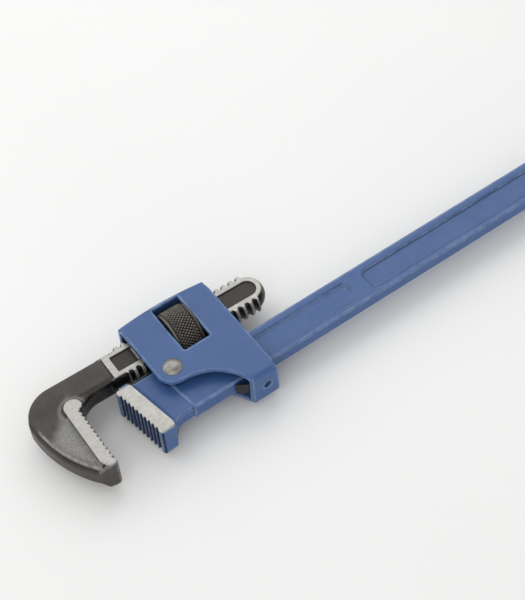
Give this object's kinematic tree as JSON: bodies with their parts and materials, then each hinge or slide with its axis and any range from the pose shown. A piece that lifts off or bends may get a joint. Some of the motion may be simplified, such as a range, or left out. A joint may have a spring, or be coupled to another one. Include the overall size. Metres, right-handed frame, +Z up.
{
  "type": "pipe wrench",
  "caption": "Stillson-pattern pipe wrench with a threaded hook jaw, a knurled adjusting nut in a riveted rocking frame, and a one-piece handle and heel jaw.",
  "frame": {"origin": "bottom centre of the box round the whole wrench as it lies on its side, at the jaw opening stored at rest", "axes": "+X along the handle from the jaws to the hanging hole, +Y across the wrench towards the spine of the frame, +Z up, square to the wrench's side"},
  "size_m": [0.3512, 0.0716, 0.0292],
  "materials": {
    "blue_enamel": "satin sprayed enamel over a forging, slightly pebbled, rubbed thin on the ridges",
    "jaw_steel": "dark oxide on the forged faces, bright ground lands and threads",
    "nut_steel": "dark oiled steel with a rolled diamond knurl",
    "rivet_steel": "bright peened steel",
    "spring_steel": "blued spring steel"
  },
  "bodies": {
    "handle": {"handle_bar": "blue_enamel", "shank_leaf_spring": "spring_steel", "shank_coil_spring": "spring_steel", "shank_spring_rivet": "rivet_steel"},
    "frame": {"frame_housing": "blue_enamel", "pivot_rivet": "rivet_steel", "frame_leaf_spring": "spring_steel"},
    "nut": {"adjusting_nut": "nut_steel"},
    "hook": {"hook_jaw": "jaw_steel"}
  },
  "joints": [
    {"name": "frame_pivot", "type": "hinge", "parent": "handle", "child": "frame", "pos_m": [-0.09905, -0.00357, 0.0146], "axis": [0, 0, 1], "range_deg": [0, 5], "stiffness_Nm_per_rad": 6, "springref_deg": -5.73, "deforming": ["frame_leaf_spring"]},
    {"name": "nut_spin", "type": "hinge", "parent": "frame", "child": "nut", "pos_m": [-0.08015, 0.01853, 0.0146], "axis": [0.9997, -0.0242, 0], "range_deg": [-1441, 2521]},
    {"name": "hook_slide", "type": "slide", "parent": "frame", "child": "hook", "axis": [0.9997, -0.0242, 0], "range_m": [-0.0315, 0.018]}
  ],
  "couplings": [
    {"joint": "nut_spin", "follows": "hook_slide", "rad_per_m": -1396.3}
  ]
}
